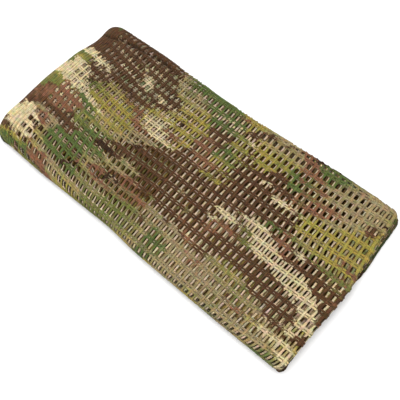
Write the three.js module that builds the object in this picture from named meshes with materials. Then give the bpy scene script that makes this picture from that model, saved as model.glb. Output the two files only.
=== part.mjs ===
// A knitted scrim net, folded in four across its width and then in four along its length, and laid flat.
// It is one piece of net, so it is one solid: a continuous sheet that runs back and forth through the pack.
//
// Millimetres. +X runs along the pack, from the fold that wraps it all to the loose ends. +Y runs across the
// pack and +Z is up. The origin lies on the surface under the middle of the pack.

import * as THREE from 'three';

// Driving dimensions.
const PACK_LENGTH = 475;
const PACK_WIDTH = 225;
const PLY = 0.8; // one ply of net, measured over its knots
const PLIES_IN_LAP = 4; // the width is folded in four first, so each lap of the length is four plies
const LAP_COUNT = 4;
const LAP_GAP = 0.6; // air between two laps

// Worked out from them.
const LAP = PLY * PLIES_IN_LAP;
const PACK_HEIGHT = LAP * LAP_COUNT + LAP_GAP * (LAP_COUNT - 1);
const TOP_LAP_UNDERSIDE = PACK_HEIGHT - LAP;
const HALF_LENGTH = PACK_LENGTH / 2;
const HALF_WIDTH = PACK_WIDTH / 2;

// Folds. A bulge is how far a fold's middle line stands out from where its two laps end.
const WRAP_BULGE = 12; // the outer fold, round the whole pack
const FOLD_BULGE = (LAP + LAP_GAP) / 2; // a fold between two neighbouring laps, a true half round
const INNER_FOLD_SETBACK = 3.2; // from the start of the wrap to the middle of the fold that lies inside it

// The top lap turns down over the near side: round this radius to its middle line, through this angle in
// degrees, and then straight on for a short way.
const TURN_DOWN = { radius: 7, angle: 82, hang: 2 };
const TURN_ANGLE = THREE.MathUtils.degToRad(TURN_DOWN.angle);

// How far the turn starts inside the outline, and the length of net from there to its edge.
const TURN_REACH = (TURN_DOWN.radius + LAP / 2) * Math.sin(TURN_ANGLE) + TURN_DOWN.hang * Math.cos(TURN_ANGLE);
const TURNED_LENGTH = TURN_DOWN.radius * TURN_ANGLE + TURN_DOWN.hang;

// Along the far side the top lap only sinks a little: how deep, and over what width.
const FAR_SIDE_SINK = { depth: 1.2, width: 5 };

// How far the laps stay in from the outline. The top lap covers the inner laps at the near side.
const NEAR_INSET = { under: 1.2, inner: 6.8 };
const FAR_INSET = { under: 0.8, inner: 2.5 };

// Near the outer fold the far edge is rolled up, and a groove runs along the foot of the roll. The table has
// the roll's width, and how strongly roll and groove show, at places along the pack.
const ROLL_HEIGHT = 1.9;
const GROOVE = { depth: 1.9, halfWidth: 2, fromFoot: 1 };
const ROLL = [
  { at: -238, width: 24, strength: 0 },
  { at: -226, width: 24, strength: 1 },
  { at: -198, width: 15.5, strength: 1 },
  { at: -180, width: 13.4, strength: 1 },
  { at: -162, width: 12, strength: 1 },
  { at: -120, width: 9, strength: 1 },
  { at: -96, width: 9, strength: 0 },
];

// The laps, in the order in which the net runs through them. A level counts laps up from the surface,
// right is the column of RIGHT_END that its end follows, and direction is the way it runs along X. The under
// and inner columns say whose width it has. The net's outer face is down on the first lap, up on the second,
// and so on.
const LAPS = [
  { level: 0, right: 'under', direction: -1, under: 1, inner: 0 },
  { level: 3, right: 'fold', direction: 1, under: 0, inner: 0 },
  { level: 2, right: 'fold', direction: -1, under: 0, inner: 1 },
  { level: 1, right: 'tucked', direction: 1, under: 0, inner: 1 },
];

// How far each right end stands out past the nominal length, at places across the pack from -1 to 1.
const RIGHT_END = [
  { across: -1.0, fold: -3.0, under: -1.2, tucked: -4.0 },
  { across: -0.7, fold: -1.2, under: -2.5, tucked: -4.5 },
  { across: 0.0, fold: 2.0, under: -1.0, tucked: -3.5 },
  { across: 0.3, fold: -1.5, under: 1.5, tucked: -1.0 },
  { across: 0.7, fold: -5.0, under: -0.8, tucked: -3.0 },
  { across: 1.0, fold: -6.0, under: -2.0, tucked: -4.0 },
];

// How far the outer fold lies inside the nominal length, at places across the pack.
const LEFT_END = [
  { across: -1.0, inset: 6.5 },
  { across: -0.65, inset: 2.2 },
  { across: 0.0, inset: -2.0 },
  { across: 0.35, inset: -0.6 },
  { across: 0.7, inset: 5.8 },
  { across: 1.0, inset: 2.5 },
];

// How far the two long sides bow out past the nominal width, at places along the pack from -1 to 1.
const LONG_SIDES = [
  { along: -1.0, near: 0.0, far: 2.6 },
  { along: -0.65, near: 0.9, far: 2.8 },
  { along: -0.35, near: -0.8, far: 0.4 },
  { along: -0.1, near: -2.0, far: -2.4 },
  { along: 0.15, near: 0.8, far: -2.0 },
  { along: 0.6, near: 0.5, far: 1.0 },
  { along: 1.0, near: -1.0, far: 0.6 },
];

// Rounding of the pack's four corners in plan, as a quarter ellipse.
const CORNERS = {
  left: { near: { alongX: 20, alongY: 34 }, far: { alongX: 17, alongY: 16 } },
  right: { near: { alongX: 8, alongY: 10 }, far: { alongX: 9, alongY: 9 } },
};

// Fineness of the faceted sheet.
const ALONG_LAP = [ // stations that all laps share, closer along the roll
  -212, -198, -186, -174, -160, -142, -124, -110, -94, -50, 0, 50, 100, 150, 200,
];
const STEPS_IN_WRAP = 12;
const STEPS_IN_FOLD = 8;
const EDGE_ANGLES = [20, 50, 90]; // degrees, where the half round of a cut or folded edge has its facets
const IN_FROM_NEAR = [3.4, 5.4, 7.6, 10, 13, 20, 42, 76]; // where the flat of a lap has its facets
const ACROSS_ROLL = [0.56, 0.74, 0.9, 1]; // in from the outline, as shares of the roll's width
const PAST_ROLL = [1.2, 3.4, 7, 22]; // past the roll's foot
const BESIDE_FAR_EDGE = 4.3; // clear of the edges of the inner laps

const clamp01 = (t) => Math.min(1, Math.max(0, t));
const smooth = (t) => t * t * (3 - 2 * t);
const mix = (a, b, t) => a + (b - a) * t;

/** Reads one column of a table at a place between its rows, easing from row to row. */
function readTable(rows, place, column, at) {
  const last = rows.length - 1;
  const next = rows.findIndex((row) => at <= row[place]);
  if (next === 0) return rows[0][column];
  if (next < 0) return rows[last][column];
  const [before, after] = [rows[next - 1], rows[next]];
  const t = (at - before[place]) / (after[place] - before[place]);
  return mix(before[column], after[column], smooth(t));
}

/** Depth that a quarter ellipse takes off at a distance from its end: all of it at 0, none past its width. */
function quarterRound(distance, width, depth) {
  const t = 1 - clamp01(distance / width);
  return depth * (1 - Math.sqrt(1 - t * t));
}

/** The distances in from an edge at which a lap's half-round edge has its facets, with its thinness there. */
function edgeFacets() {
  return EDGE_ANGLES.map((degrees) => {
    const angle = THREE.MathUtils.degToRad(degrees);
    return { distance: (LAP / 2) * (1 - Math.cos(angle)), thinness: Math.sin(angle) };
  });
}

/** Height of the middle line of the lap at a level. */
const middleOfLap = (level) => LAP / 2 + level * (LAP + LAP_GAP);

/**
 * Stations along a fold between two laps: half an ellipse from one lap's level to the other's, bulging to one
 * side along X. The net's outer face is either outside the fold, or inside it where outerFace is -1.
 */
function foldStations({ x, from, to, bulge, side, outerFace, steps }) {
  const start = middleOfLap(from.level);
  const halfRise = (middleOfLap(to.level) - start) / 2;
  return Array.from({ length: steps - 1 }, (_, k) => {
    const turned = (k + 1) / steps;
    const angle = Math.PI * turned;
    const outOfFold = new THREE.Vector2(
      side * Math.abs(halfRise) * Math.sin(angle),
      -Math.sign(halfRise) * bulge * Math.cos(angle),
    );
    return {
      x: x + side * bulge * Math.sin(angle),
      z: start + halfRise * (1 - Math.cos(angle)),
      normal: outOfFold.normalize().multiplyScalar(outerFace),
      thinness: 1,
      right: to.right,
      under: mix(from.under, to.under, turned),
      inner: mix(from.inner, to.inner, turned),
    };
  });
}

/** Stations along one lap, in the order in which the net runs, with a half-round end where the end is loose. */
function lapStations(lap, left, right) {
  const station = (x, thinness) => ({
    x,
    z: middleOfLap(lap.level),
    normal: new THREE.Vector2(0, lap.direction),
    thinness,
    right: lap.right,
    under: lap.under,
    inner: lap.inner,
  });
  const isLoose = lap.right !== 'fold';
  const flatEnd = isLoose ? right - LAP / 2 : right;
  const run = [left, ...ALONG_LAP, flatEnd].map((x) => station(x, 1));
  if (isLoose) {
    const towardsEnd = edgeFacets().slice(0, -1).reverse();
    run.push(...towardsEnd.map(({ distance, thinness }) => station(right - distance, thinness)));
  }
  return lap.direction < 0 ? run.reverse() : run;
}

/** Every station along the net, from its end under the pack to the one tucked inside. */
function netStations() {
  const [under, top, second, third] = LAPS;
  const wrapStart = -HALF_LENGTH + LAP / 2 + WRAP_BULGE;
  const innerStart = wrapStart - INNER_FOLD_SETBACK;
  const foldStart = HALF_LENGTH - LAP / 2 - FOLD_BULGE;
  return [
    ...lapStations(under, wrapStart, HALF_LENGTH),
    ...foldStations({
      x: wrapStart, from: under, to: top, bulge: WRAP_BULGE, side: -1, outerFace: 1, steps: STEPS_IN_WRAP,
    }),
    ...lapStations(top, wrapStart, foldStart),
    ...foldStations({
      x: foldStart, from: top, to: second, bulge: FOLD_BULGE, side: 1, outerFace: 1, steps: STEPS_IN_FOLD,
    }),
    ...lapStations(second, innerStart, foldStart),
    ...foldStations({
      x: innerStart, from: second, to: third, bulge: FOLD_BULGE, side: -1, outerFace: -1, steps: STEPS_IN_FOLD,
    }),
    ...lapStations(third, innerStart, HALF_LENGTH),
  ];
}

/** How far the two long sides of the pack lie from its middle line, at a place along it. */
function outline(x) {
  const along = x / HALF_LENGTH;
  return {
    near: HALF_WIDTH + readTable(LONG_SIDES, 'along', 'near', along),
    far: HALF_WIDTH + readTable(LONG_SIDES, 'along', 'far', along),
  };
}

/** Y of the two sides of a lap while it is still flat. The top lap has more net, which will turn down. */
function flatSides({ x, under, inner }) {
  const { near, far } = outline(x);
  const top = 1 - under - inner;
  return {
    near: -near + under * NEAR_INSET.under + inner * NEAR_INSET.inner + top * (TURN_REACH - TURNED_LENGTH),
    far: far - under * FAR_INSET.under - inner * FAR_INSET.inner,
  };
}

/** The places across one station, from its near side to its far side, each with the thinness of the edge. */
function placesAcross(x, { near, far }) {
  const facets = edgeFacets();
  const rollWidth = readTable(ROLL, 'at', 'width', x);
  const fromFar = [
    BESIDE_FAR_EDGE,
    ...ACROSS_ROLL.map((share) => share * rollWidth),
    ...PAST_ROLL.map((past) => rollWidth + past),
  ];
  return [
    ...facets.map(({ distance, thinness }) => ({ y: near + distance, thinness })),
    ...IN_FROM_NEAR.map((distance) => ({ y: near + distance, thinness: 1 })),
    { y: (near + far) / 2, thinness: 1 },
    ...fromFar.reverse().map((distance) => ({ y: outline(x).far - distance, thinness: 1 })),
    ...facets.reverse().map(({ distance, thinness }) => ({ y: far - distance, thinness })),
  ];
}

/** How deep the top of the pack sinks along its far side. It stands up at the roll and sinks in the groove. */
function sinkDepth(x, fromFar) {
  const width = readTable(ROLL, 'at', 'width', x);
  const roll = ROLL_HEIGHT * Math.sqrt(Math.max(0, 1 - ((2 * fromFar) / width - 1) ** 2));
  const groove = GROOVE.depth * Math.exp(-(((fromFar - width - GROOVE.fromFoot) / GROOVE.halfWidth) ** 2));
  const rolled = readTable(ROLL, 'at', 'strength', x) * (groove - roll);
  return quarterRound(fromFar, FAR_SIDE_SINK.width, FAR_SIDE_SINK.depth) + rolled;
}

/** Turns a point of the top lap down over the near side: past is its length of net beyond the turn's start. */
function turnDown(start, past, z) {
  const middle = middleOfLap(LAP_COUNT - 1);
  const radius = TURN_DOWN.radius + Math.max(z, TOP_LAP_UNDERSIDE) - middle;
  const angle = Math.min(past / TURN_DOWN.radius, TURN_ANGLE);
  const straight = Math.max(0, past - TURN_DOWN.radius * TURN_ANGLE);
  return {
    y: start - radius * Math.sin(angle) - straight * Math.cos(angle),
    z: middle - TURN_DOWN.radius + radius * Math.cos(angle) - straight * Math.sin(angle),
  };
}

/**
 * Bends a point of the flat, straight pack into its uneven shape. Space itself is bent, so that laps don't come
 * to cross: the top lap moves fully, the lowest one not at all, and what lies between them by its share.
 */
function bend(x, y, z, right) {
  const { near, far } = outline(x);
  const share = clamp01((z - LAP) / (TOP_LAP_UNDERSIDE - LAP));
  const start = -near + TURN_REACH;
  let place = { y, z: z - share * sinkDepth(x, far - y) };
  if (y < start) {
    const turned = turnDown(start, start - y, z);
    place = { y: mix(y, turned.y, share), z: mix(Math.min(z, LAP), turned.z, share) };
  }
  const across = place.y / HALF_WIDTH;
  const corner = (end) => quarterRound(place.y + near, end.near.alongY, end.near.alongX)
    + quarterRound(far - place.y, end.far.alongY, end.far.alongX);
  const leftShift = readTable(LEFT_END, 'across', 'inset', across) + corner(CORNERS.left);
  const rightShift = readTable(RIGHT_END, 'across', right, across) - corner(CORNERS.right);
  const towardsLeft = smooth(clamp01(-x / HALF_LENGTH));
  const towardsRight = smooth(clamp01(x / HALF_LENGTH));
  return [x + leftShift * towardsLeft + rightShift * towardsRight, place.y, place.z];
}

/** The closed skin of the folded sheet: its outer and inner faces, joined round their four edges. */
function foldedNetGeometry() {
  const stations = netStations();
  const grids = [1, -1].map((face) => stations.map((station) => {
    const { x, z, normal, right } = station;
    return placesAcross(x, flatSides(station)).map(({ y, thinness }) => {
      const offset = (face * LAP * station.thinness * thinness) / 2;
      return bend(x + normal.x * offset, y, z + normal.y * offset, right);
    });
  }));
  const rows = stations.length;
  const columns = grids[0][0].length;
  const positions = grids.flat(2).flat();
  const index = [];
  const vertex = (face, i, j) => (face * rows + i) * columns + j;
  const quad = (a, b, c, d) => index.push(a, b, c, a, c, d);
  for (let i = 0; i < rows - 1; i += 1) {
    for (let j = 0; j < columns - 1; j += 1) {
      quad(vertex(0, i, j), vertex(0, i + 1, j), vertex(0, i + 1, j + 1), vertex(0, i, j + 1));
      quad(vertex(1, i, j), vertex(1, i, j + 1), vertex(1, i + 1, j + 1), vertex(1, i + 1, j));
    }
    quad(vertex(0, i, 0), vertex(1, i, 0), vertex(1, i + 1, 0), vertex(0, i + 1, 0));
    const far = columns - 1;
    quad(vertex(0, i, far), vertex(0, i + 1, far), vertex(1, i + 1, far), vertex(1, i, far));
  }
  for (let j = 0; j < columns - 1; j += 1) {
    quad(vertex(0, 0, j), vertex(0, 0, j + 1), vertex(1, 0, j + 1), vertex(1, 0, j));
    const end = rows - 1;
    quad(vertex(0, end, j), vertex(1, end, j), vertex(1, end, j + 1), vertex(0, end, j + 1));
  }
  const geometry = new THREE.BufferGeometry();
  geometry.setAttribute('position', new THREE.Float32BufferAttribute(positions, 3));
  geometry.setIndex(index);
  geometry.computeVertexNormals();
  return geometry;
}

const knittedNet = new THREE.MeshStandardMaterial({
  name: 'knitted_net',
  color: 0x6e6544,
  roughness: 0.95,
  metalness: 0,
});

const scrimNet = new THREE.Mesh(foldedNetGeometry(), knittedNet);
scrimNet.name = 'scrim_net';

const pack = new THREE.Group();
pack.add(scrimNet);

export default pack;
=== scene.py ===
# %% [markdown]
# # A folded scrim net
#
# A scrim net is a large, loosely knitted polyester cloth. Fat knitted chains run one way, pairs of thinner
# yarns run the other way under them, and between them the cloth is open. It is printed in camouflage on one
# side only, so its reverse stays a pale cream. This one is folded in four across its width, then in four
# along its length, and laid flat.
#
# In Blender it could be a flat sheet with holes painted on, but then every hole would be as deep as paper.
# Here each strand is a closed tube. The strands are laid out on the flat cloth, and one function folds every
# point of them into the pack, so light falls through the holes onto real yarn below.

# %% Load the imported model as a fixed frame
import math

import bpy
import numpy as np
from mathutils import Matrix, Vector


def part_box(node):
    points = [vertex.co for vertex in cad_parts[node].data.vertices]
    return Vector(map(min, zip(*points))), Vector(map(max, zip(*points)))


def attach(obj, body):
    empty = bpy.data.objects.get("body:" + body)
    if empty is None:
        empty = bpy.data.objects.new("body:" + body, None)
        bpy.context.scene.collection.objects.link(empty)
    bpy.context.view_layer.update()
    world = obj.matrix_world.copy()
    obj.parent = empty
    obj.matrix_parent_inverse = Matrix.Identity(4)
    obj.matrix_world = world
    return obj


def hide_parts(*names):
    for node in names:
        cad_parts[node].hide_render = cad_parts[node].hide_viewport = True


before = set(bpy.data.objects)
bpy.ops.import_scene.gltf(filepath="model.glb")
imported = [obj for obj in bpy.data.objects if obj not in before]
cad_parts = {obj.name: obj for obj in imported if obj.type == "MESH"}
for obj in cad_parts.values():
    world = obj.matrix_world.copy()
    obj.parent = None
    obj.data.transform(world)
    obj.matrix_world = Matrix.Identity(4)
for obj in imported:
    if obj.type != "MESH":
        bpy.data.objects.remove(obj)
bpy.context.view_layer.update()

low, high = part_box("scrim_net")
print("the solid net is", [round((b - a) * 1000, 1) for a, b in zip(low, high)], "mm")

# %% [markdown]
# ## Sizes
#
# The net is worked out in millimetres and turned to metres at the end. The sizes of the pack are those of the
# solid: a strand has to lie on the same folds as the solid that stands for it in collision.

# %% Sizes of the pack, in millimetres
PACK_LENGTH = 475.0
PACK_WIDTH = 225.0
PLY = 0.8
LAP = 4 * PLY  # the width is folded in four first, so a lap is four plies
LAP_GAP = 0.6
HALF_LENGTH = PACK_LENGTH / 2
HALF_WIDTH = PACK_WIDTH / 2
PACK_HEIGHT = 4 * LAP + 3 * LAP_GAP
TOP_LAP_UNDERSIDE = PACK_HEIGHT - LAP

WRAP_BULGE = 12.0  # how far the outer fold, round the whole pack, stands out
FOLD_BULGE = (LAP + LAP_GAP) / 2  # the other two folds are half circles
INNER_TUCK = 3.2  # how much further left the inner fold starts
WRAP_START = -HALF_LENGTH + LAP / 2 + WRAP_BULGE
INNER_START = WRAP_START - INNER_TUCK
FOLD_START = HALF_LENGTH - LAP / 2 - FOLD_BULGE

# The top lap turns down over the near side.
TURN_RADIUS, TURN_ANGLE, TURN_HANG = 7.0, math.radians(82), 2.0
TURN_REACH = (TURN_RADIUS + LAP / 2) * math.sin(TURN_ANGLE) + TURN_HANG * math.cos(TURN_ANGLE)
TURNED_LENGTH = TURN_RADIUS * TURN_ANGLE + TURN_HANG

# %% [markdown]
# ## The uneven outline
#
# A folded cloth is never a rectangle. Short tables say how far each side stands out at a few places, and
# reading them with an easing curve gives a smooth side from a handful of numbers.

# %% The outline's tables and how they are read
RIGHT_END = {  # how far an end stands out, at places across the pack from -1 to 1
    "under": [(-1.0, -1.2), (-0.7, -2.5), (0.0, -1.0), (0.3, 1.5), (0.7, -0.8), (1.0, -2.0)],
    "fold": [(-1.0, -3.0), (-0.7, -1.2), (0.0, 2.0), (0.3, -1.5), (0.7, -5.0), (1.0, -6.0)],
    "tucked": [(-1.0, -4.0), (-0.7, -4.5), (0.0, -3.5), (0.3, -1.0), (0.7, -3.0), (1.0, -4.0)],
}
LEFT_END = [(-1.0, 6.5), (-0.65, 2.2), (0.0, -2.0), (0.35, -0.6), (0.7, 5.8), (1.0, 2.5)]
NEAR_SIDE = [(-1.0, 0.0), (-0.65, 0.9), (-0.35, -0.8), (-0.1, -2.0), (0.15, 0.8), (0.6, 0.5), (1.0, -1.0)]
FAR_SIDE = [(-1.0, 2.6), (-0.65, 2.8), (-0.35, 0.4), (-0.1, -2.4), (0.15, -2.0), (0.6, 1.0), (1.0, 0.6)]


def smooth(t):
    return t * t * (3 - 2 * t)


def ramp(at, start, end):
    """0 before start, 1 after end, eased between them. start may be the larger of the two."""
    return smooth(np.clip((at - start) / (end - start), 0, 1))


def read_table(rows, at):
    places, values = np.array(rows, float).T
    at = np.clip(at, places[0], places[-1])
    row = np.clip(np.searchsorted(places, at) - 1, 0, len(places) - 2)
    t = (at - places[row]) / (places[row + 1] - places[row])
    return values[row] + (values[row + 1] - values[row]) * smooth(t)


def outline(x):
    """How far the near and the far side lie from the pack's middle line."""
    along = x / HALF_LENGTH
    return HALF_WIDTH + read_table(NEAR_SIDE, along), HALF_WIDTH + read_table(FAR_SIDE, along)


widths = [round(float(sum(outline(x)))) for x in (-HALF_LENGTH, 0, HALF_LENGTH)]
print("the pack is", widths, "mm wide at its left end, in the middle and at its right end")

# %% [markdown]
# ## The folded path
#
# Folded flat, the strip of four plies runs under the pack from its loose end, round the outer fold, back over
# the top, and then to and fro inside. The path could be a Bezier curve, but a cloth's folds are half rounds
# between straight laps, and those are exact in a few lines. It is sampled every half millimetre of its
# length, so any place along the cloth is later found by interpolation.

# %% The path of the strip, seen from the near side
MIDDLE = [LAP / 2 + level * (LAP + LAP_GAP) for level in range(4)]  # the heights of the laps' middles
STEP, FOLD_SAMPLES = 0.5, 400  # the path's samples: every half millimetre of a lap, and so many to a fold


def lap_path(start, end, level, under, inner):
    """A straight lap. Its outer face is up where it runs to the right, and down where it runs back."""
    count = int(abs(end - start) / STEP)
    t = np.arange(count) / count
    facing = np.sign(end - start)
    flat = np.ones(count)
    return np.stack(
        [start + (end - start) * t, MIDDLE[level] * flat, 0 * t, facing * flat, under * flat, inner * flat]
    )


def fold_path(x, level, next_level, bulge, side, outer_face, under, inner):
    """Half an ellipse from lap to lap, bulging to one side. under and inner go from one value to another."""
    rise = (MIDDLE[next_level] - MIDDLE[level]) / 2
    angle = np.linspace(0, math.pi, FOLD_SAMPLES, endpoint=False)
    px, pz = x + side * bulge * np.sin(angle), MIDDLE[level] + rise * (1 - np.cos(angle))
    out = np.stack([side * abs(rise) * np.sin(angle), -np.sign(rise) * bulge * np.cos(angle)])
    out *= outer_face / np.linalg.norm(out, axis=0)
    shares = [np.interp(angle / math.pi, [0, 1], ends) for ends in (under, inner)]
    return np.stack([px, pz, *out, *shares])


SECTIONS = [  # in the order in which the cloth runs: name, which table its right end follows, its samples
    ("lowest lap", "under", lap_path(HALF_LENGTH, WRAP_START, 0, 1, 0)),
    ("outer fold", "fold", fold_path(WRAP_START, 0, 3, WRAP_BULGE, -1, 1, (1, 0), (0, 0))),
    ("top lap", "fold", lap_path(WRAP_START, FOLD_START, 3, 0, 0)),
    ("right fold", "fold", fold_path(FOLD_START, 3, 2, FOLD_BULGE, 1, 1, (0, 0), (0, 1))),
    ("third lap", "fold", lap_path(FOLD_START, INNER_START, 2, 0, 1)),
    ("inner fold", "tucked", fold_path(INNER_START, 2, 1, FOLD_BULGE, -1, -1, (0, 0), (1, 1))),
    ("second lap", "tucked", lap_path(INNER_START, HALF_LENGTH, 1, 0, 1)),
]
PATH = np.concatenate([samples for _, _, samples in SECTIONS], axis=1)
PLACE = np.concatenate([[0], np.cumsum(np.hypot(*np.diff(PATH[:2], axis=1)))])
FIRST = np.cumsum([0] + [samples.shape[1] for _, _, samples in SECTIONS])
START = {name: PLACE[FIRST[k]] for k, (name, _, _) in enumerate(SECTIONS)}
END = PLACE[-1]
TABLE_HERE = np.repeat([list(RIGHT_END).index(table) for _, table, _ in SECTIONS], np.diff(FIRST))
print("the strip is", round(END), "mm long:", {name: round(p) for name, p in START.items()})


def path_at(p):
    """x, z, the normal's x and z, and the shares of under and inner, at places along the strip."""
    return [np.interp(p, PLACE, row) for row in PATH]


def x_at(p):
    return np.interp(p, PLACE, PATH[0])


UNDER_INSET = (1.2, 0.8)  # how far the near and the far side of the lowest lap lie inside the outline
INNER_INSET = (6.8, 2.5)  # and those of the two laps inside


def sides_at(p):
    """The near and the far side of the still flat strip. The top lap has more net, which will turn down."""
    x, _, _, _, under, inner = path_at(p)
    near, far = outline(x)
    top = 1 - under - inner
    near_side = -near + under * UNDER_INSET[0] + inner * INNER_INSET[0] + top * (TURN_REACH - TURNED_LENGTH)
    return near_side, far - under * UNDER_INSET[1] - inner * INNER_INSET[1]


# %% [markdown]
# ## Bending the pack
#
# The flat pack is bent as if space itself were soft: the near side turns down, the far side sinks a little,
# and the ends follow their tables. Near the outer fold the selvedge is rolled up like half a cord, with a
# groove along its foot. A lattice modifier could do this too, but a formula also serves the solid, and both
# then have exactly the same folds.

# %% From the flat strip to the folded pack
CORNER = {  # near then far corner of an end: its rounding along x and along y
    "left": ((20.0, 34.0), (17.0, 16.0)),
    "right": ((8.0, 10.0), (9.0, 9.0)),
}


def quarter_round(distance, width, depth):
    t = 1 - np.clip(distance / width, 0, 1)
    return depth * (1 - np.sqrt(1 - t * t))


ROLL_HEIGHT = 1.9
# Places along the pack, with the width of the roll there and how much of it there is.
ROLL_WIDTH = [(-238, 24), (-226, 24), (-198, 15.5), (-180, 13.4), (-162, 12), (-120, 9), (-96, 9)]
ROLL_STRENGTH = [(-238, 0), (-226, 1), (-120, 1), (-96, 0)]
GROOVE_DEPTH, GROOVE_HALF_WIDTH, GROOVE_FROM_FOOT = 1.9, 2.0, 1.0
FAR_EDGE_WIDTH, FAR_EDGE_DEPTH = 5, 1.2  # the rounding of the top lap all along the far side


def sink_depth(x, from_far):
    """How deep the top of the pack sinks along its far side. It stands up at the roll."""
    width = read_table(ROLL_WIDTH, x)
    roll = ROLL_HEIGHT * np.sqrt(np.clip(1 - (2 * from_far / width - 1) ** 2, 0, 1))
    groove = GROOVE_DEPTH * np.exp(-(((from_far - width - GROOVE_FROM_FOOT) / GROOVE_HALF_WIDTH) ** 2))
    rounding = quarter_round(from_far, FAR_EDGE_WIDTH, FAR_EDGE_DEPTH)
    return rounding + read_table(ROLL_STRENGTH, x) * (groove - roll)


def turn_down(start, past, z):
    radius = TURN_RADIUS + np.maximum(z, TOP_LAP_UNDERSIDE) - MIDDLE[3]
    angle = np.minimum(past / TURN_RADIUS, TURN_ANGLE)
    straight = np.maximum(0, past - TURN_RADIUS * TURN_ANGLE)
    y = start - radius * np.sin(angle) - straight * np.cos(angle)
    return y, MIDDLE[3] - TURN_RADIUS + radius * np.cos(angle) - straight * np.sin(angle)


def fold_up(p, y, n):
    """Points of the strip in the folded pack, from their place along it, across it and out of its middle."""
    x, z, normal_x, normal_z, _, _ = path_at(p)
    x, z = x + normal_x * n, z + normal_z * n
    near, far = outline(x)
    share = np.clip((z - LAP) / (TOP_LAP_UNDERSIDE - LAP), 0, 1)
    start = -near + TURN_REACH
    turned_y, turned_z = turn_down(start, np.maximum(start - y, 0), z)
    turns = y < start
    sunk_z = z - share * sink_depth(x, far - y)
    z = np.where(turns, np.minimum(z, LAP) * (1 - share) + turned_z * share, sunk_z)
    y = np.where(turns, y * (1 - share) + turned_y * share, y)
    corner = {
        end: quarter_round(y + near, at_near[1], at_near[0]) + quarter_round(far - y, at_far[1], at_far[0])
        for end, (at_near, at_far) in CORNER.items()
    }
    table = TABLE_HERE[np.clip(np.searchsorted(PLACE, p, side="right") - 1, 0, len(TABLE_HERE) - 1)]
    across = y / HALF_WIDTH
    right = np.choose(table, [read_table(rows, across) for rows in RIGHT_END.values()]) - corner["right"]
    left = read_table(LEFT_END, across) + corner["left"]
    x = x + left * ramp(x, 0, -HALF_LENGTH) + right * ramp(x, 0, HALF_LENGTH)
    return np.stack([x, y, z], axis=-1)


top_middle = fold_up(*(np.array([v]) for v in (START["top lap"] + HALF_LENGTH, 0.0, LAP / 2)))[0]
print("a point on top of the pack, near its middle, is at", [round(float(v), 1) for v in top_middle], "mm")

# %% [markdown]
# ## The grain of the cloth
#
# A knitted net is pulled out of square as it is folded: its chains lean, and its rows slide across the pack
# towards its two ends. These functions give that in the cloth's own sizes. A noise texture could move the
# strands too, but sums of a few sines are smooth, cheap and the same in every run.

# %% Pitches, lean, skew and wobble
CHAIN_PITCH = 8.8  # across the net, from one knitted chain to the next
TOP_PITCH = ([-224, -205, 0, 237], [8.3, 9.2, 8.8, 8.2])  # places along the top lap, and the pitch there
FIRST_CHAIN = 2.0  # from the strip's loose end
ROW_PITCH = 12.95  # from one pair of yarns to the next
WAVES, USUAL_PEAK = 5, 2.6  # how many sines make up a wobble, and about how high their sum gets


def wobble(a, b, size, seed):
    """A smooth random field of about -1 to 1 over two directions, with bumps of about this size."""
    random = np.random.default_rng(seed)
    total = 0
    for _ in range(WAVES):
        direction, phase = random.uniform(0, 2 * math.pi, 2)
        wave = size * random.uniform(1.2, 2.6)
        along_wave = a * math.cos(direction) + b * math.sin(direction)
        total = total + np.sin(2 * math.pi * along_wave / wave + phase)
    return total / USUAL_PEAK


def chain_places():
    """Places along the strip at which the chains lie: closer at the two ends of the pack."""
    places = [FIRST_CHAIN]
    while places[-1] < END:
        p = places[-1]
        on_top = START["outer fold"] < p < START["third lap"]
        places.append(p + (np.interp(x_at(p), *TOP_PITCH) if on_top else CHAIN_PITCH))
    return np.array(places)


CHAINS = chain_places()
print(len(CHAINS) - 1, "chains lie across the strip")


def place_of_chain(k):
    return np.interp(k, np.arange(len(CHAINS)), CHAINS)


SKEW_LEFT, SKEW_RIGHT = 19, 3.5  # how far the rows have slid at the two ends of the pack
SKEW_LEAD = 60  # the length before the outer fold over which the lowest lap takes it up


def skew(p):
    """How far the rows have slid across the pack: up at its left end, and up a little at its right end."""
    x = x_at(p)
    on_top = ramp(p, START["outer fold"] - SKEW_LEAD, START["outer fold"]) * ramp(p, END, START["third lap"])
    slid = SKEW_LEFT * ramp(x, -70, -262) + SKEW_RIGHT * ramp(x, 150, 240)
    return on_top * slid + 0.5 * wobble(p, 0, 90, 3)


LEAN = ([-226, -190, -110, 0, 100, 228], [0.0, 0.13, 0.21, 0.085, 0.035, 0.0])  # places, its strength there
LEAN_FROM, LEAN_CURVE, LEAN_SCALE = 12, 1.15, 0.55  # from how far across, and the law by which it grows


def lean(p, y):
    """How far a chain has slid along the pack: towards the right at the near side of the top lap."""
    top = (p > START["top lap"]) & (p < START["right fold"])
    slid = np.interp(x_at(p), *LEAN) * np.maximum(0, LEAN_FROM - y) ** LEAN_CURVE * LEAN_SCALE
    return np.where(top, slid, 0) + 0.45 * wobble(p, y, 70, 5)


# %% [markdown]
# ## The four plies
#
# Three folds put four plies on each other, by turns face up and face down. At the near side the outer ply
# joins the inner one, and the second joins the third. At the far side the third joins the inner one, and the
# outer and the second have their selvedges. An array modifier could repeat one ply, but each has strands,
# print and light of its own. So each is made anew, at its own distance from the lap's middle.

# %% The plies of a lap
PLIES = {  # distance from the lap's middle, the width of its chains as a share, and how far they sway
    "outer": {"offset": 1.5 * PLY, "width": 1.0, "sway": 0.22},
    "second": {"offset": 0.5 * PLY, "width": 0.86, "sway": 0.36},
    "third": {"offset": -0.5 * PLY, "width": 0.95, "sway": 0.36},
    "inner": {"offset": -1.5 * PLY, "width": 0.9, "sway": 0.36},
}
FACE_UP = ("outer", "third")


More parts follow.
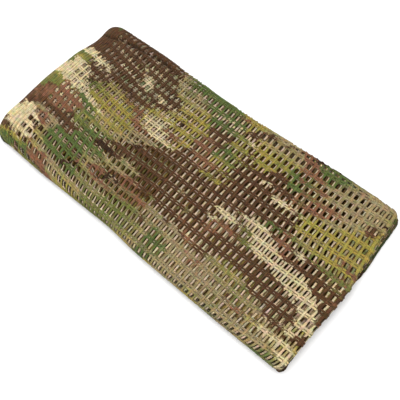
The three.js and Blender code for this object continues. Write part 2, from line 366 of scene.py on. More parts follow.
def on_cloth(ply, y):
    """Where a point lies across the unfolded net: the folds mirror it from ply to ply."""
    return {
        "outer": y,
        "inner": -PACK_WIDTH - y,
        "third": y - 2 * PACK_WIDTH,
        "second": -3 * PACK_WIDTH - y,
    }[ply]


print("across the net, the middles of the plies lie at", {ply: on_cloth(ply, 0) for ply in PLIES}, "mm")

# %% [markdown]
# ## Where the mesh looks open or closed
#
# Where the chains of two plies fall between each other the mesh looks closed, and where they are in line it
# looks open. No pack is the same all over, so a table of zones says where the plies have slid. Painted vertex
# weights could say it too, but a zone with soft sides is only a product of ramps, and a table is easier to
# change.

# %% Zones of the pack
ZONES = {  # how strong it is; where it begins and where it is full, along the pack and across it, in mm
    "shut left": (1, [(-30, -120)], [(-50, 10)]),
    "shut near left": (1, [(-150, -172)], [(-92, -78)]),
    "shut left end": (1, [(-196, -212)], []),
    "shut right end": (1, [(190, 210)], []),
    "in line": (1, [(6, -20), (-168, -150)], [(14, -10), (-92, -76)]),
    "pocket": (1, [(-176, -166), (-128, -140)], [(-2, 10), (92, 80)]),
    "rows slid left": (1, [(-76, -104)], [(-92, -76)]),
    "rows slid far right": (1, [(50, 110)], [(0, 50)]),
    "spread left end": (0.5, [(-204, -218)], []),
    "spread right end": (0.1, [(190, 210)], []),
    "spread far corner": (0.4, [(-150, -200)], [(30, 70)]),
    "slack left": (0.25, [(-60, -120)], [(30, -10)]),
    "slack far right": (0.2, [(40, 100)], [(10, 60)]),
    "slack near corner": (0.35, [(-145, -175)], [(25, -15)]),
    "thin left": (0.25, [(20, -50)], []),
    "dyed through": (0.2, [(-204, -218)], []),
    # painted shade: darkens the deep plies of the left third, through lit
    "shaded left": (0.5, [(20, -60)], []),
}
SHUT = ("shut left", "shut near left", "shut left end", "shut right end")


def zone(name, x, y):
    """How strongly a zone is felt at a place of the pack."""
    strength, along, across = ZONES[name]
    for at, sides in ((x, along), (y, across)):
        for begins, full in sides:
            strength = strength * ramp(at, begins, full)
    return strength


def closed(x, y):
    """1 where the second ply fills the holes of the outer one: at the ends and in most of the left third."""
    return np.maximum.reduce([zone(name, x, y) for name in SHUT])


for x, y in ((-150.0, 40.0), (-90.0, -40.0), (90.0, 0.0)):
    print("at", (x, y), "the mesh is", round(100 * float(closed(x, y))), "percent closed")

# %% [markdown]
# ## How far the plies have slid
#
# The second and the inner ply lie about half a pitch beside the outer one, and the third nearly under it.
# Random shifts would do for a heap of net, but in a pressed pack neighbouring holes look alike, so each shift
# changes slowly from place to place. It is given as a share of the pitch.

# %% Shifts of chains and rows
BESIDE, BESIDE_MORE, UNDER = 0.42, 0.1, -0.17  # the second ply's shift, what the inner has more, the third's


def chain_shift(ply, x, y):
    """How far a ply's chains lie from the outer ply's, as a share of their pitch."""
    if ply == "outer":
        return 0 * x
    in_line = zone("in line", x, y)
    if ply == "third":
        return UNDER + 0.6 * in_line + 0.04 * wobble(x, y, 60, 13)
    beside = BESIDE + (0.08 + 0.0024 * (y + 20)) * ramp(x, 0, 80) + 0.05 * wobble(x, y, 60, 11)
    if ply == "inner":
        beside = beside + BESIDE_MORE
    beside = beside * (1 - 0.8 * in_line)
    shut = closed(x, y)
    middle = 0.5 - 0.15 * zone("pocket", x, y)
    return beside + (middle - beside) * shut + 0.07 * np.maximum(shut, in_line) * wobble(x, y, 14, 14)


def row_shift(ply, x, y):
    """The same for the rows. On the right, the rows of all plies are in line along the selvedge."""
    if ply in FACE_UP:
        return 0 * x
    upper = ramp(x, 20, -110) * (0.25 + 0.75 * ramp(y, -60, 20))
    left = 0.42 * np.maximum(upper, zone("rows slid left", x, y)) - 0.22 * zone("pocket", x, y)
    right = zone("rows slid far right", x, y)
    loose = np.maximum(closed(x, y), zone("in line", x, y))
    shift = 0.04 + left - 0.07 * right + 0.04 * wobble(x, y, 70, 12) + 0.08 * loose * wobble(x, y, 16, 15)
    return shift * np.maximum(ramp(y, 112, 92), ramp(x, 0, -60))


print("chains of the second ply lie", round(float(chain_shift("second", 90.0, 0.0)), 2), "of a pitch beside")

# %% [markdown]
# ## Width, print and light
#
# Strands spread where the cloth is slack and at the ends. The print is full on a ply's face and hardly comes
# through to its reverse. Deep in the pack the yarn gets a painted shade, dark where fuzz and stray filaments
# would keep the light out of a real pack. All three are numbers for each place. The last two become attributes
# of the mesh, which the material reads.

# %% What differs from ply to ply and from place to place
FAINT, SHOWS_THROUGH = 0.2, 0.45  # the print on a reverse, and what it has more where the mesh is closed
# The painted shade deep in the pack lifts near the cloth's sides and loose ends.
EDGE_DARK, EDGE_BRIGHT = 9, 2  # how far inside its edges the cloth begins to be lit, and is fully lit


def fullness(ply, x, y):
    """How many times wider than usual the strands are: they spread at the ends, and slack cloth lets them."""
    at_end = zone("spread left end", x, y) + zone("spread right end", x, y)
    if ply != "outer":
        return 1 + at_end - zone("thin left", x, y)
    slack = zone("slack left", x, y) + zone("slack far right", x, y)
    return 1 + np.maximum(at_end, zone("spread far corner", x, y)) + slack + zone("slack near corner", x, y)


def printed(ply, x, y):
    """How strongly the print shows on a ply: fully on its face, faintly on its reverse, more at the ends."""
    if ply in FACE_UP:
        return 1.0 + 0 * x
    shut = np.maximum(closed(x, y), zone("in line", x, y))
    return FAINT + SHOWS_THROUGH * shut * (1 + 0.6 * wobble(x, y, 12, 16)) + zone("dyed through", x, y)


def lit(p, y, reach):
    """How much painted light a strand gets, and less means painted shade: reach inside the pack, all of it on
    its sides and loose ends.
    """
    near, far = sides_at(p)
    edge = ramp(np.minimum(np.minimum(y - near, far - y), np.minimum(p, END - p)), EDGE_DARK, EDGE_BRIGHT)
    # More painted shade on the left, where the top plies leave fewer gaps.
    if reach < 1:  # the top plies leave fewer gaps on the left
        x = x_at(p) + 0 * y
        reach = reach * (1 - zone("shaded left", x, y) * (1 - zone("in line", x, y)))
    return reach + (1 - reach) * edge


print("light on the third ply in the middle:", round(float(lit(START["top lap"] + HALF_LENGTH, 0.0, 0.4)), 2))

# %% [markdown]
# ## A strand
#
# A strand is a flattened tube: its middle line in cloth coordinates, half its width and half its thickness.
# Curves with a bevel would make tubes too, but they can't be flattened to lie in a fold. Here the rings are
# made on the flat cloth, and folding then turns them with the cloth. Beside its points each tube keeps where
# it lies on the cloth, for the print, and how far along the yarn it is, for the twist.

# %% One tube on the flat cloth
# The groove's shape is real, and its strands also get a painted shade on their colour, set by these three
# numbers.
SHADOW_FROM_FOOT, SHADOW_HALF_WIDTH, SHADOW_STRENGTH = 0.4, 1.5, 0.95  # the shade in the roll's groove
STITCH_SLANT = 2.4  # how far round the yarn a stitch of a chain leans


def painted_groove_shade(ply, p, from_far):
    """Less light reaches the groove at the foot of the roll, and this factor paints that shade into the
    strands' colour.
    """
    off = (from_far - read_table(ROLL_WIDTH, x_at(p)) - SHADOW_FROM_FOOT) / SHADOW_HALF_WIDTH
    there = read_table(ROLL_STRENGTH, x_at(p)) * (p > START["outer fold"]) * (ply in ("outer", "second"))
    return 1 - SHADOW_STRENGTH * there * np.exp(-off * off)


def tube(ply, p, y, n, wide, thick, across, sides, cloth_shift, strength, light, tone):
    """Rings of points round a middle line. across says that it runs across the strip and not along it."""
    count = len(p)
    wide, thick, strength, light = (np.broadcast_to(v, count) for v in (wide, thick, strength, light))
    turn = (np.arange(sides) + 0.5) / sides
    c, s = (f(2 * math.pi * turn)[None, :] for f in (np.cos, np.sin))
    c, s = c / c.max(), s / s.max()  # so that few sides still reach the full width and thickness
    # crown is painted shade: the flanks of a strand darker than its top, and darker still in the roll's
    # groove.
    crown = (s * painted_groove_shade(ply, p, sides_at(p)[1] - y)[:, None]).ravel()
    p, y, n, wide, thick = (v[:, None] for v in (p, y, n, wide, thick))
    if across:
        dy, dn = np.gradient(y[:, 0]), np.gradient(n[:, 0])
        long = np.hypot(dy, dn)
        up_y, up_n = (dn / long)[:, None], (-dy / long)[:, None]
        rings = [p + c * wide, y + s * thick * up_y, n + s * thick * up_n]
        turn = STITCH_SLANT * np.abs((turn + 0.25) % 1 - 0.5)  # a chain's stitches are mirrored, as small Vs
    else:
        rings = [p + 0 * c, y + c * wide, n + s * thick]
    rings = np.stack(rings, axis=-1)
    travel = np.concatenate([[0], np.cumsum(np.linalg.norm(np.diff(rings[:, 0], axis=0), axis=1))])
    places = (travel[:, None] + 0 * c, turn[None, :] + 0 * travel[:, None], tone + 0 * c + 0 * p)
    yarn = np.stack(places, axis=-1)
    return {
        "ply": ply,
        "rings": rings,
        "yarn": yarn,
        "shift": cloth_shift,
        "printed": strength,
        "lit": light,
        "crown": crown,
        "area": np.sum(np.diff(travel) * (wide[1:, 0] + wide[:-1, 0])),
    }


# %% [markdown]
# ## Knitted chains
#
# A chain is fat and stands proud, and swells at each knot where it ties a row in. Its end at the selvedge is
# a round loop. A curve with a bevel would do for one chain, but there are hundreds of them, each in another
# place of the folds. A stretch of one ply is made only as fine as it is seen: the outer ply with round strands
# and several points to a cell, the deep ones with square strands.

# %% Chains of one ply
CHAIN = {"wide": 1.5, "thick": 0.5}  # half sizes
FINENESS = {  # sides of a strand, points to a cell along a row and along a chain
    "fine": (6, 5, 6),
    "medium": (6, 2, 4),
    "coarse": (4, 1, 1),
}
FIRST_ROW = 0.4  # how far the middle row lies to the near side of the pack's middle
KNOT_SWELL, KNOT_DEPTH = 0.16, 0.05  # a chain is wider at its knots, by this share, and sinks between them
TIP_POINTS, TIP_LENGTH, TIP_START = [0.2, 0.4, 0.8, 1.4], 1.3, 0.1  # a chain's round end, from the selvedge
ROLL_POINTS = {"first": 1.9, "last": 30, "apart": 1.2, "left_of": -90}  # fine enough to follow the roll
ROUND_FOLD = (9, 11)  # from so far before the outer fold to so far after it, chains lie twice as close
TURN_POINTS = 5  # where a chain turns round the near side


def chains(ply, start, end, fineness, reach):
    sides, _, points = FINENESS[fineness]
    offset, full_width, sway = PLIES[ply].values()
    swell = KNOT_SWELL if points > 1 else 0.0
    random = np.random.default_rng(int(start) + int(100 * (offset + 5)))
    found = []
    for k in np.arange(0, len(CHAINS) - 1, 0.5):
        p0 = place_of_chain(k)
        between = k % 1 > 0
        round_fold = START["outer fold"] - ROUND_FOLD[0] < p0 < START["top lap"] + ROUND_FOLD[1]
        if not start <= p0 < end or (between and not (ply == "outer" and round_fold)):
            continue

        # The middle line: from the far side to the near side, with the round tip first.
        near, far = sides_at(p0)
        y = far - np.array(TIP_POINTS)
        if p0 > START["outer fold"] and x_at(p0) < ROLL_POINTS["left_of"]:
            first, last, apart = (ROLL_POINTS[key] for key in ("first", "last", "apart"))
            y = np.concatenate([y, np.arange(far - first, far - last, -apart)])
        count = int((y[-1] - near) / ROW_PITCH * points) + 1
        y = np.concatenate([y, np.linspace(y[-1] - 1.5, near + LAP / 2, count)])
        x = x_at(p0) + 0 * y
        seed = int(2 * k)
        p = place_of_chain(k + chain_shift(ply, x, y)) + lean(p0, y) + sway * wobble(y, 0, 26, 1000 + seed)
        p = p + 0.14 * wobble(y, 0, 9, 2000 + seed)

        # Its width and thickness, knot by knot.
        knot = np.cos(2 * math.pi * (y + FIRST_ROW - skew(p0) - row_shift(ply, x, y) * ROW_PITCH) / ROW_PITCH)
        size, tone = random.uniform(0.92, 1.08), random.uniform(-1, 1)
        tip = np.sqrt(1 - np.clip(1 - (far - TIP_START - y) / TIP_LENGTH, 0, 1) ** 2)
        uneven = 1 + swell * knot + swell * wobble(y, 0, 5, 4000 + seed)
        wide = CHAIN["wide"] * full_width * size * tip * uneven * fullness(ply, x, y)
        thick = CHAIN["thick"] * size * (0.3 + 0.7 * tip)
        middle = offset + PLY / 2 - CHAIN["thick"] * size
        n = middle - KNOT_DEPTH * (1 - knot)
        light = lit(p0, y, reach)

        if ply in ("outer", "second"):  # these two turn round the near side, into the plies below them
            angle = np.linspace(0, math.pi, TURN_POINTS + 1)[1:]
            y = np.concatenate([y, near + LAP / 2 - middle * np.sin(angle)])
            n = np.concatenate([n, middle * np.cos(angle)])
            p, wide, thick, light = (
                np.concatenate([v, np.full(TURN_POINTS, v[-1])]) for v in (p, wide, thick, light)
            )
        strength = printed(ply, x_at(p0) + 0 * y, y)
        shift = (lean(p0, y), skew(p0) + 0 * y)
        found.append(tube(ply, p, y, n, wide, thick, True, sides, shift, strength, light, tone))
    return found


trial = chains("outer", START["top lap"], START["top lap"] + 40, "fine", 1.0)
print(len(trial), "chains in 40 mm of the top lap, with", trial[0]["rings"].shape[0], "rings each")

# %% [markdown]
# ## Rows of yarn
#
# A row is two thin yarns side by side, laid in under every chain. Yarns also run along the selvedge and the
# near side. An array modifier would repeat one yarn exactly, but real ones wander a little and none is quite
# like its neighbour, so each line has its own seed.

# %% Rows of one ply
YARN = {"wide": 1.08, "thick": 0.42, "apart": 1.52}  # half sizes, and half the distance between the two
ROWS = range(-12, 13)
ROW_DIP, ROW_DEPTH = 0.16, 0.16  # how far a yarn dips at a chain, and how far it lies under the chains' tops
SELVEDGE_YARNS, FOLD_YARNS = (1.2, 2.9), (1.9, 3.4)  # from the far side, and from the near side
FAR_LIMIT, NEAR_LIMIT = 1.2, 1.4  # no yarn lies closer than this to a side


def runs_of(inside):
    """The stretches in which a row lies inside the cloth, as slices."""
    edges = np.flatnonzero(np.diff(np.concatenate([[0], inside.astype(int), [0]])))
    return [slice(a, b) for a, b in zip(edges[::2], edges[1::2]) if b - a > 2]


def rows(ply, start, end, fineness, reach):
    sides, points, _ = FINENESS[fineness]
    offset = PLIES[ply]["offset"]
    dip = ROW_DIP if points > 1 else 0.0
    random = np.random.default_rng(int(start) + int(100 * (offset + 7)))
    first, last = np.interp([start, end], CHAINS, np.arange(len(CHAINS)))
    k = np.linspace(first, last, int((last - first) * points) + 1)
    p0 = place_of_chain(k)
    x = x_at(p0)
    near, far = sides_at(p0)
    lines = [far - edge + 0.15 * wobble(p0, 0, 30, 77) for edge in SELVEDGE_YARNS]
    lines += [near + edge for edge in FOLD_YARNS]
    for j in ROWS:
        straight = j * ROW_PITCH - FIRST_ROW + random.uniform(-0.35, 0.35) + 0 * p0
        straight = straight + row_shift(ply, x, straight) * ROW_PITCH + skew(p0)
        for side in (-1, 1):
            seed = 50 * j + side + 700
            line = straight + side * YARN["apart"] + 0.28 * wobble(p0, 0, 30, seed)
            lines.append(line + 0.12 * wobble(p0, 0, 9, 9000 - seed))
    found = []
    for y in lines:
        size, tone = random.uniform(0.9, 1.1), random.uniform(-1, 1)
        p = p0 + lean(p0, y)
        under = np.cos(2 * math.pi * (k - chain_shift(ply, x, y)))
        thick = YARN["thick"] * size
        n = offset + PLY / 2 - thick - ROW_DEPTH - dip * under - 0.25 * ramp(x, -200, -214)
        light = lit(p0, y, reach)
        wide = YARN["wide"] * size * fullness(ply, x, y) * (1 + dip * wobble(p0, y, 6, int(3 * y[0]) + 9000))
        strength = printed(ply, x, y)
        for run in runs_of((y > near + NEAR_LIMIT) & (y < far - FAR_LIMIT)):
            shift = (lean(p0, y)[run], skew(p0)[run])
            middle_line = (p[run], y[run], n[run])
            looks = (shift, strength[run], light[run], tone)
            found.append(tube(ply, *middle_line, wide[run], thick, False, sides, *looks))
    return found


trial = rows("outer", START["top lap"], START["top lap"] + 40, "fine", 1.0)
print(len(trial), "yarns in the same stretch, the first with", trial[0]["rings"].shape[0], "rings")

# %% [markdown]
# ## From tubes to a mesh
#
# All tubes of a piece become one mesh, so that thousands of strands are one object. Blender could unwrap it,
# but so many small islands would waste the map: here every strand is a strip of its own from edge to edge of
# the map, and each end cap has a small patch beside its strip.

# %% Build one mesh from many tubes
MAP_MARGIN, CAP_SIZE = 0.012, 0.004  # of the map: beside the strips, and a cap's half width
STRIP_GAP, STRIP_FILL, CAP_FILL = 0.06, 0.88, 0.4  # of a strip's height: beside it, what it fills, half a cap


def tube_faces(count, sides):
    """The side faces of a tube and its two caps, as numbers of its points, and where those faces are on it."""
    r, s = np.meshgrid(np.arange(count - 1), np.arange(sides), indexing="ij")
    here, beyond, after = r * sides, (r + 1) * sides, (s + 1) % sides
    quads = np.stack([here + s, here + after, beyond + after, beyond + s], axis=-1).reshape(-1, 4)
    ring = np.arange(sides)
    return quads, [ring[::-1], (count - 1) * sides + ring], r, s


def strip_map(r, s, count, sides, strip, strips):
    """Where the side faces and then the two caps of a tube lie on the map."""
    along = MAP_MARGIN + (1 - 2 * MAP_MARGIN) * np.stack([r, r, r + 1, r + 1], axis=-1) / (count - 1)
    round_it = (strip + STRIP_GAP + STRIP_FILL * np.stack([s, s + 1, s + 1, s], axis=-1) / sides) / strips
    turn = 2 * math.pi * np.arange(sides) / sides
    places = [np.stack([along, round_it], axis=-1).reshape(-1, 2)]
    for middle in (MAP_MARGIN / 2, 1 - MAP_MARGIN / 2):
        height = (strip + 0.5 + CAP_FILL * np.sin(turn)) / strips
        patch = np.stack([middle + CAP_SIZE * np.cos(turn), height], axis=1)
        places.append(patch[::-1] if middle < 0.5 else patch)
    return places


def net_mesh(name, tubes):
    points, faces, uv, cloth, yarn, strength, light, crown = [], [], [], [], [], [], [], []
    first = 0
    for strip, t in enumerate(tubes):
        count, sides, _ = t["rings"].shape
        flat = t["rings"].reshape(-1, 3)
        points.append(fold_up(*flat.T))
        shift_p, shift_y = (np.repeat(v, sides) for v in t["shift"])
        cloth_y = on_cloth(t["ply"], flat[:, 1] - shift_y)
        cloth.append(np.stack([flat[:, 0] - shift_p, cloth_y, 0 * shift_p], axis=1))
        yarn.append(t["yarn"].reshape(-1, 3))
        strength.append(np.repeat(t["printed"], sides))
        light.append(np.repeat(t["lit"], sides))
        crown.append(t["crown"])
        quads, caps, r, s = tube_faces(count, sides)
        faces += (first + quads).tolist() + [(first + cap).tolist() for cap in caps]
        uv += strip_map(r, s, count, sides, strip, len(tubes))
        first += count * sides
    mesh = bpy.data.meshes.new(name)
    mesh.from_pydata((np.concatenate(points) * 0.001).tolist(), [], faces)
    mesh.polygons.foreach_set("use_smooth", np.ones(len(mesh.polygons), bool))
    for key, kind, values in (
        ("cloth", "FLOAT_VECTOR", np.concatenate(cloth) * 0.001),
        ("yarn", "FLOAT_VECTOR", np.concatenate(yarn) * [0.001, 1, 1]),
        ("printed", "FLOAT", np.concatenate(strength)),
        ("lit", "FLOAT", np.concatenate(light)),
        ("crown", "FLOAT", np.concatenate(crown)),
    ):
        attribute = mesh.attributes.new(key, kind, "POINT")
        kind_of_value = "vector" if values.ndim > 1 else "value"
        attribute.data.foreach_set(kind_of_value, values.astype(np.float32).ravel())
    layer = mesh.uv_layers.new(name="OFBake")
    layer.uv.foreach_set("vector", np.concatenate(uv).astype(np.float32).ravel())
    piece = bpy.data.objects.new(name, mesh)
    bpy.context.scene.collection.objects.link(piece)
    return piece


def triangles(mesh):
    return sum(len(face.vertices) - 2 for face in mesh.polygons)


# %% [markdown]
# ## The pieces of the net
#
# It is one net, but one mesh of all of it would be too heavy to handle. It is cut where nobody sees it: the
# outer ply of the top lap with its two folds, the ply just under it, the two plies below, the lowest lap,
# and the two laps inside.

# %% Make the net
TOP = (START["outer fold"], START["third lap"])
LOWEST = (0.0, START["outer fold"])
THIRD = (START["third lap"], START["inner fold"])
SECOND = (START["inner fold"], END)
BOTH, KNITTED, LAID_IN = (chains, rows), (chains,), (rows,)
# The reach of the light says how little painted shade a stretch's strands get inside the pack: 1 is none, 0 is
# all of it.
PIECES = {  # its kinds of strand, and its stretches as ply, start, end, fineness and reach of the light
    "net_top_chains": (KNITTED, [("outer", *TOP, "fine", 1.0)]),
    "net_top_yarns": (LAID_IN, [("outer", *TOP, "fine", 1.0)]),
    "net_second_ply": (BOTH, [("second", *TOP, "medium", 1.0)]),
    "net_deep_plies": (BOTH, [("third", *TOP, "coarse", 0.4), ("inner", *TOP, "coarse", 0.15)]),
    "net_underside_ply": (BOTH, [("outer", *LOWEST, "medium", 1.0)]),
    "net_lowest_lap": (BOTH, [(ply, *LOWEST, "coarse", 0.0) for ply in ("second", "third", "inner")]),
    "net_third_lap": (BOTH, [(ply, *THIRD, "coarse", 0.0) for ply in PLIES]),
    "net_second_lap": (BOTH, [(ply, *SECOND, "coarse", 0.0) for ply in PLIES]),
}

net, yarn_area = {}, {}
for name, (kinds, stretches) in PIECES.items():
    strands = []
    for stretch in stretches:
        for kind in kinds:
            strands += kind(*stretch)
    net[name] = net_mesh(name, strands)
    yarn_area[name] = sum(strand["area"] for strand in strands) * 1e-6
    print(name, len(strands), "strands,", triangles(net[name].data), "triangles")

# %% [markdown]
# ## Colours and nodes
#
# Dye recipes are usually given in sRGB, and Blender's shaders want linear light, so one function turns one
# into the other. Another adds a node with its settings and links, which keeps a node tree readable as text.

# %% Helpers for materials
def linear(hex_colour):
    parts = [int(hex_colour[k : k + 2], 16) / 255 for k in (1, 3, 5)]
    return [v / 12.92 if v <= 0.04045 else ((v + 0.055) / 1.055) ** 2.4 for v in parts] + [1.0]


def add(tree, kind, inputs=None, **settings):
    """Adds a node, sets its properties, and fills or links its inputs by name or number."""
    node = tree.nodes.new("ShaderNode" + kind)
    for key, value in settings.items():
        setattr(node, key, value)
    for key, value in (inputs or {}).items():
        if isinstance(value, bpy.types.NodeSocket):
            tree.links.new(value, node.inputs[key])
        else:
            node.inputs[key].default_value = value
    return node


# %% [markdown]
# ## The print
#
# Transfer-printed polyester: the dye sits in the yarn, so there is no film and no gloss. Camouflage is made of
# blotches drawn out along the cloth. Each colour is one layer of stretched noise cut off at a level, laid over
# the last, as a printer lays one screen over another. The ground and the greens fade into each other, and the
# browns, the cream and the darkest marks have firm edges.

# %% Camouflage as layers of stretched noise
INKS = {
    "olive": "#8e803a",
    "khaki": "#8c7c58",
    "moss": "#636531",
    "leaf": "#505c2c",
    "brown": "#4e341e",
    "russet": "#755038",
    "cream": "#bfae86",
    "dark": "#332010",
}
LAYERS = (  # ink, length of a blotch in mm, how many times longer than wide, cut-off level, softness, seed
    ("khaki", 95, 1.7, 0.515, 0.05, 3.1),
    ("moss", 85, 1.8, 0.52, 0.05, 7.7),
    ("leaf", 70, 1.6, 0.545, 0.03, 19.6),
    ("brown", 90, 1.6, 0.517, 0.008, 28.9),
    ("russet", 50, 1.7, 0.60, 0.02, 33.4),
    ("cream", 80, 2.2, 0.592, 0.008, 66.6),
    ("dark", 26, 1.8, 0.66, 0.008, 55.8),
)
NOISE_BUMPS = 0.62  # bumps of the noise to the width of a blotch
RAGGED_BUMPS, RAGGED_PULL = 240.0, 0.012  # bumps to a metre, about 4 mm each, and the pull's range in metres


def camouflage(tree, cloth):
    """The print. Strands are pulled a little out of place after printing, so blotches have ragged edges."""
    ragged = add(tree, "TexNoise", {"Vector": cloth, "Scale": RAGGED_BUMPS, "Detail": 2.0})
    ragged = add(tree, "VectorMath", {0: ragged.outputs["Color"], 1: (-0.5, -0.5, 0)}, operation="ADD")
    ragged = add(tree, "VectorMath", {0: ragged.outputs[0], "Scale": RAGGED_PULL}, operation="SCALE")
    cloth = add(tree, "VectorMath", {0: cloth, 1: ragged.outputs[0]}, operation="ADD").outputs[0]
    colour = linear(INKS["olive"])
    for ink, length, stretch, level, softness, seed in LAYERS:
        wide = length / stretch * 0.001
        place = add(tree, "VectorMath", {0: cloth, 1: (1 / stretch, 1, 1)}, operation="MULTIPLY")
        place = add(tree, "VectorMath", {0: place.outputs[0], 1: (seed, seed * 0.7, seed)}, operation="ADD")
        blotches = {"Scale": NOISE_BUMPS / wide, "Detail": 3.5, "Roughness": 0.55, "Distortion": 0.6}
        noise = add(tree, "TexNoise", {"Vector": place.outputs[0], **blotches})
        edge = {"From Min": level - softness, "From Max": level + softness}
        cut = add(tree, "MapRange", {"Value": noise.outputs["Fac"], **edge})
        laid_over = {0: cut.outputs[0], 6: colour, 7: linear(INKS[ink])}
        colour = add(tree, "Mix", laid_over, data_type="RGBA").outputs[2]
    return colour


print("the print is an olive ground with", len(LAYERS), "colours laid over it")

# %% [markdown]
# ## Dye, filaments and painted shade
#
# The filaments of a yarn lie along it in streaks, its flanks see less light than its crown, which is drawn as
# painted shade, and dye takes a little unevenly, from strand to strand and every few millimetres. An image
# texture would need to be very large to show that. Noise in the yarn's own coordinates is sharp at any
# distance, and each cause is one factor on the colour.

# %% Light and dark along a strand
STREAKS = (130.0, 5.0, 40.0)  # streaks to a metre along the yarn (8 mm each), round it, and from tone to tone
SHADES = {  # the range of what causes it, and the factors on the colour at its two ends
    "patches": (0.3, 0.7, 0.75, 1.33),
    "strands": (-1.0, 1.0, 0.93, 1.07),
    "streaks": (0.3, 0.7, 0.6, 1.42),
    # painted shade: a strand's flanks darker than its crown, and darker in the roll's groove, from the crown
    # attribute
    "flank and crown": (0.0, 0.85, 0.45, 1.08),
}


def shade_of_strand(tree, patchy, along, turn, tone, crown):
    """How much lighter or darker than its dye each place of a strand is, with painted shade on its flanks."""
    places = [
        add(tree, "Math", {0: value, 1: scale}, operation="MULTIPLY").outputs[0]
        for value, scale in zip((along, turn, tone), STREAKS)
    ]
    streak = add(tree, "CombineXYZ", dict(enumerate(places)))
    fine = {"Scale": 1.0, "Detail": 3.0, "Roughness": 0.7}
    streak = add(tree, "TexNoise", {"Vector": streak.outputs[0], **fine})
    causes = {"patches": patchy, "strands": tone, "streaks": streak.outputs["Fac"], "flank and crown": crown}
    shade = None
    for name, (least, most, dark, bright) in SHADES.items():
        ends = {"From Min": least, "From Max": most, "To Min": dark, "To Max": bright}
        factor = add(tree, "MapRange", {"Value": causes[name], **ends}).outputs[0]
        shade = add(tree, "Math", {0: shade, 1: factor}, operation="MULTIPLY").outputs[0] if shade else factor
    return shade


# %% [markdown]
# ## Knitted polyester yarn
#
# The yarn is a bundle of matt filaments. Its roughness is high and it has a little sheen from fibre ends. On
# the reverse the dye hardly comes through, so the colour goes to the cream of the bare yarn. The twist could
# be modelled as a groove that winds round each yarn, but it would need ten times the faces, so it is bump. Its
# pitch is drawn as 2.1 mm, coarser than the real 1.5 mm or so, to stay readable.

# %% The printed yarn
BARE_YARN = "#c5b093"
# the dark brown of the painted shade deep in the pack, mixed in where lit is low
PAINTED_DEEP_SHADE = "#563c08"
PATCHES, HUES = 260.0, 190.0  # bumps to a metre: about 4 mm and 5 mm each
TWIST_PITCH, TWIST_DEPTH = 2.1, 0.0004  # in mm, and in metres
ATTRIBUTES = {"cloth": "Vector", "yarn": "Vector", "printed": "Fac", "lit": "Fac", "crown": "Fac"}


def printed_polyester():
    material = bpy.data.materials.new("printed_knitted_polyester")
    material.use_nodes = True
    tree = material.node_tree
    tree.nodes.clear()
    cloth, yarn, strength, light, crown = (
        add(tree, "Attribute", attribute_name=key).outputs[kind] for key, kind in ATTRIBUTES.items()
    )
    along, turn, tone = add(tree, "SeparateXYZ", {0: yarn}).outputs

    # Dyed on the face, bare on the reverse, lighter or darker from place to place, with painted shade on
    # flanks and groove.
    dye = add(tree, "Mix", {0: strength, 6: linear(BARE_YARN), 7: camouflage(tree, cloth)}, data_type="RGBA")
    patchy = add(tree, "TexNoise", {"Vector": cloth, "Scale": PATCHES, "Detail": 4.0, "Roughness": 0.7})
    shade = shade_of_strand(tree, patchy.outputs["Fac"], along, turn, tone, crown)
    colour = add(tree, "VectorMath", {0: dye.outputs[2], "Scale": shade}, operation="SCALE")

    # The dyes take unevenly too, so the hue wanders a little towards red, green or yellow.
    hue = add(tree, "TexNoise", {"Vector": cloth, "Scale": HUES, "Detail": 2.0})
    wander = {"To Min": (0.84, 0.9, 0.8), "To Max": (1.16, 1.1, 1.2)}
    wander.update({"Vector": hue.outputs["Color"], "From Min": (0.3, 0.3, 0.3), "From Max": (0.7, 0.7, 0.7)})
    hue = add(tree, "MapRange", wander, data_type="FLOAT_VECTOR")
    colour = add(tree, "VectorMath", {0: colour.outputs[0], 1: hue.outputs["Vector"]}, operation="MULTIPLY")

    # Painted shade: where lit is low, the deep plies are mixed towards a dark brown, standing in for the light
    # that fuzz and stray filaments keep out of the depth of a real pack.
    seen = add(tree, "Mix", {0: light, 6: linear(PAINTED_DEEP_SHADE), 7: colour.outputs[0]}, data_type="RGBA")

    # The twist: filaments wind round the yarn, so a stripe moves round as it goes along.
    wound = add(tree, "Math", {0: along, 1: 1000 / TWIST_PITCH}, operation="MULTIPLY")
    wound = add(tree, "Math", {0: wound.outputs[0], 1: turn}, operation="ADD")
    wave = add(tree, "Math", {0: wound.outputs[0], 1: 2 * math.pi}, operation="MULTIPLY")
    wave = add(tree, "Math", {0: wave.outputs[0]}, operation="SINE")
    bump = add(tree, "Bump", {"Strength": 0.9, "Distance": TWIST_DEPTH, "Height": wave.outputs[0]})
    rough = add(tree, "MapRange", {"Value": patchy.outputs["Fac"], "To Min": 0.82, "To Max": 1.0})

    shader = add(
        tree,
        "BsdfPrincipled",
        {
            "Base Color": seen.outputs[2],
            "Roughness": rough.outputs[0],
            "Normal": bump.outputs[0],
            "IOR": 1.5,
            "Specular IOR Level": 0.15,
            "Sheen Weight": 0.04,
            "Sheen Roughness": 0.5,
        },
    )
    add(tree, "OutputMaterial", {0: shader.outputs[0]})
    return material


polyester = printed_polyester()
for piece in net.values():
    piece.data.materials.append(polyester)
print("material:", polyester.name, "with", len(polyester.node_tree.nodes), "nodes")

# %% [markdown]
# ## Fasten the pieces to the frame
#
# Nothing on a cloth moves by itself, so every piece rides on the one body. The net stands for the solid, which
# is hidden.

# %% Ride and replace
for name, (_, stretches) in PIECES.items():
    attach(net[name], "root")
    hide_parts("scrim_net")

# %% [markdown]
# ## The floor
#
# A pale matt board lies just under the net. A curved backdrop would hide the horizon in a low view, but seen
# from above only the board shows, so a plane is enough. A faint grain keeps it from being one flat tone.

# %% A pale floor
FLOOR_SIZE, FLOOR_DROP = 8, 0.0002  # in metres


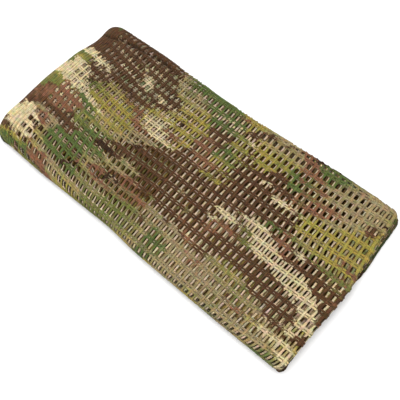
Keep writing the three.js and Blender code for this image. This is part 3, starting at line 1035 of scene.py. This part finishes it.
def pale_floor():
    bpy.ops.mesh.primitive_plane_add(size=FLOOR_SIZE, location=(0, 0, -FLOOR_DROP))
    floor = bpy.context.object
    floor.name = "floor"
    material = bpy.data.materials.new("matt_white_board")
    material.use_nodes = True
    tree = material.node_tree
    shader = tree.nodes["Principled BSDF"]
    grain = add(tree, "TexNoise", {"Scale": 40.0, "Detail": 2.0})
    tint = add(tree, "MapRange", {"Value": grain.outputs["Fac"], "To Min": 0.86, "To Max": 0.90})
    grey = add(tree, "CombineColor", {channel: tint.outputs[0] for channel in range(3)})
    tree.links.new(grey.outputs[0], shader.inputs["Base Color"])
    shader.inputs["Roughness"].default_value = 0.9
    floor.data.materials.append(material)


pale_floor()

# %% [markdown]
# ## Light
#
# A net needs light that is soft but has a direction, or its strands look flat. One large soft box hangs above
# the far side, a weaker one on the viewer's side opens the shadows, and a bright, even surround keeps the
# shadow on the floor faint. A sun lamp would be simpler, but its hard shadows would cut the mesh into specks.

# %% Lights
LIGHTS = {  # its place in metres, its size and its power in watts; all of them aim at the origin
    "key_light": ((-0.45, 0.3, 1.45), 1.5, 19.5),
    "fill_light": ((0.9, -0.8, 1.1), 1.2, 8),
}
SURROUND_STRENGTH = 0.8


def soft_box(name, place, size, watts):
    light = bpy.data.lights.new(name, "AREA")
    light.shape = "SQUARE"
    light.size = size
    light.energy = watts
    lamp = bpy.data.objects.new(name, light)
    lamp.location = place
    lamp.rotation_euler = (-Vector(place)).to_track_quat("-Z", "Y").to_euler()
    bpy.context.scene.collection.objects.link(lamp)


for name, settings in LIGHTS.items():
    soft_box(name, *settings)
    print(name, "gives", settings[2], "watts")

surround = bpy.data.worlds.new("surround")
surround.use_nodes = True
surround.node_tree.nodes["Background"].inputs["Color"].default_value = (1, 1, 1, 1)
surround.node_tree.nodes["Background"].inputs["Strength"].default_value = SURROUND_STRENGTH
bpy.context.scene.world = surround
bpy.context.scene.view_settings.view_transform = "Standard"

# %% [markdown]
# ## Camera
#
# The camera looks down from the near side and the right, rolled a little so that the pack lies along the
# picture's diagonal. Its place and rotation could be typed in, but a distance and three angles from the point
# at which it aims say more, and each can be changed by itself.

# %% Camera
AIM = Vector((0.0441, -0.0163, 0.0073))
DISTANCE = 0.624
AZIMUTH, ELEVATION, ROLL = 47.8, 63.15, -7.25  # degrees: round the pack, above the floor, and about the view
LENS, SENSOR = 47.8, 36.0  # in millimetres

camera = bpy.data.cameras.new("camera")
camera.lens = LENS
camera.sensor_width = SENSOR
camera.clip_start = 0.01
viewer = bpy.data.objects.new("camera", camera)
turned, raised = math.radians(AZIMUTH), math.radians(ELEVATION)
ahead = Vector((-math.sin(turned) * math.cos(raised), math.cos(turned) * math.cos(raised), -math.sin(raised)))
level = ahead.to_track_quat("-Z", "Y").to_matrix()
rolled = level @ Matrix.Rotation(math.radians(ROLL), 3, "Z")
viewer.matrix_world = Matrix.Translation(AIM - DISTANCE * ahead) @ rolled.to_4x4()
bpy.context.scene.collection.objects.link(viewer)
bpy.context.scene.camera = viewer
print("the camera stands at", [round(v, 3) for v in AIM - DISTANCE * ahead])
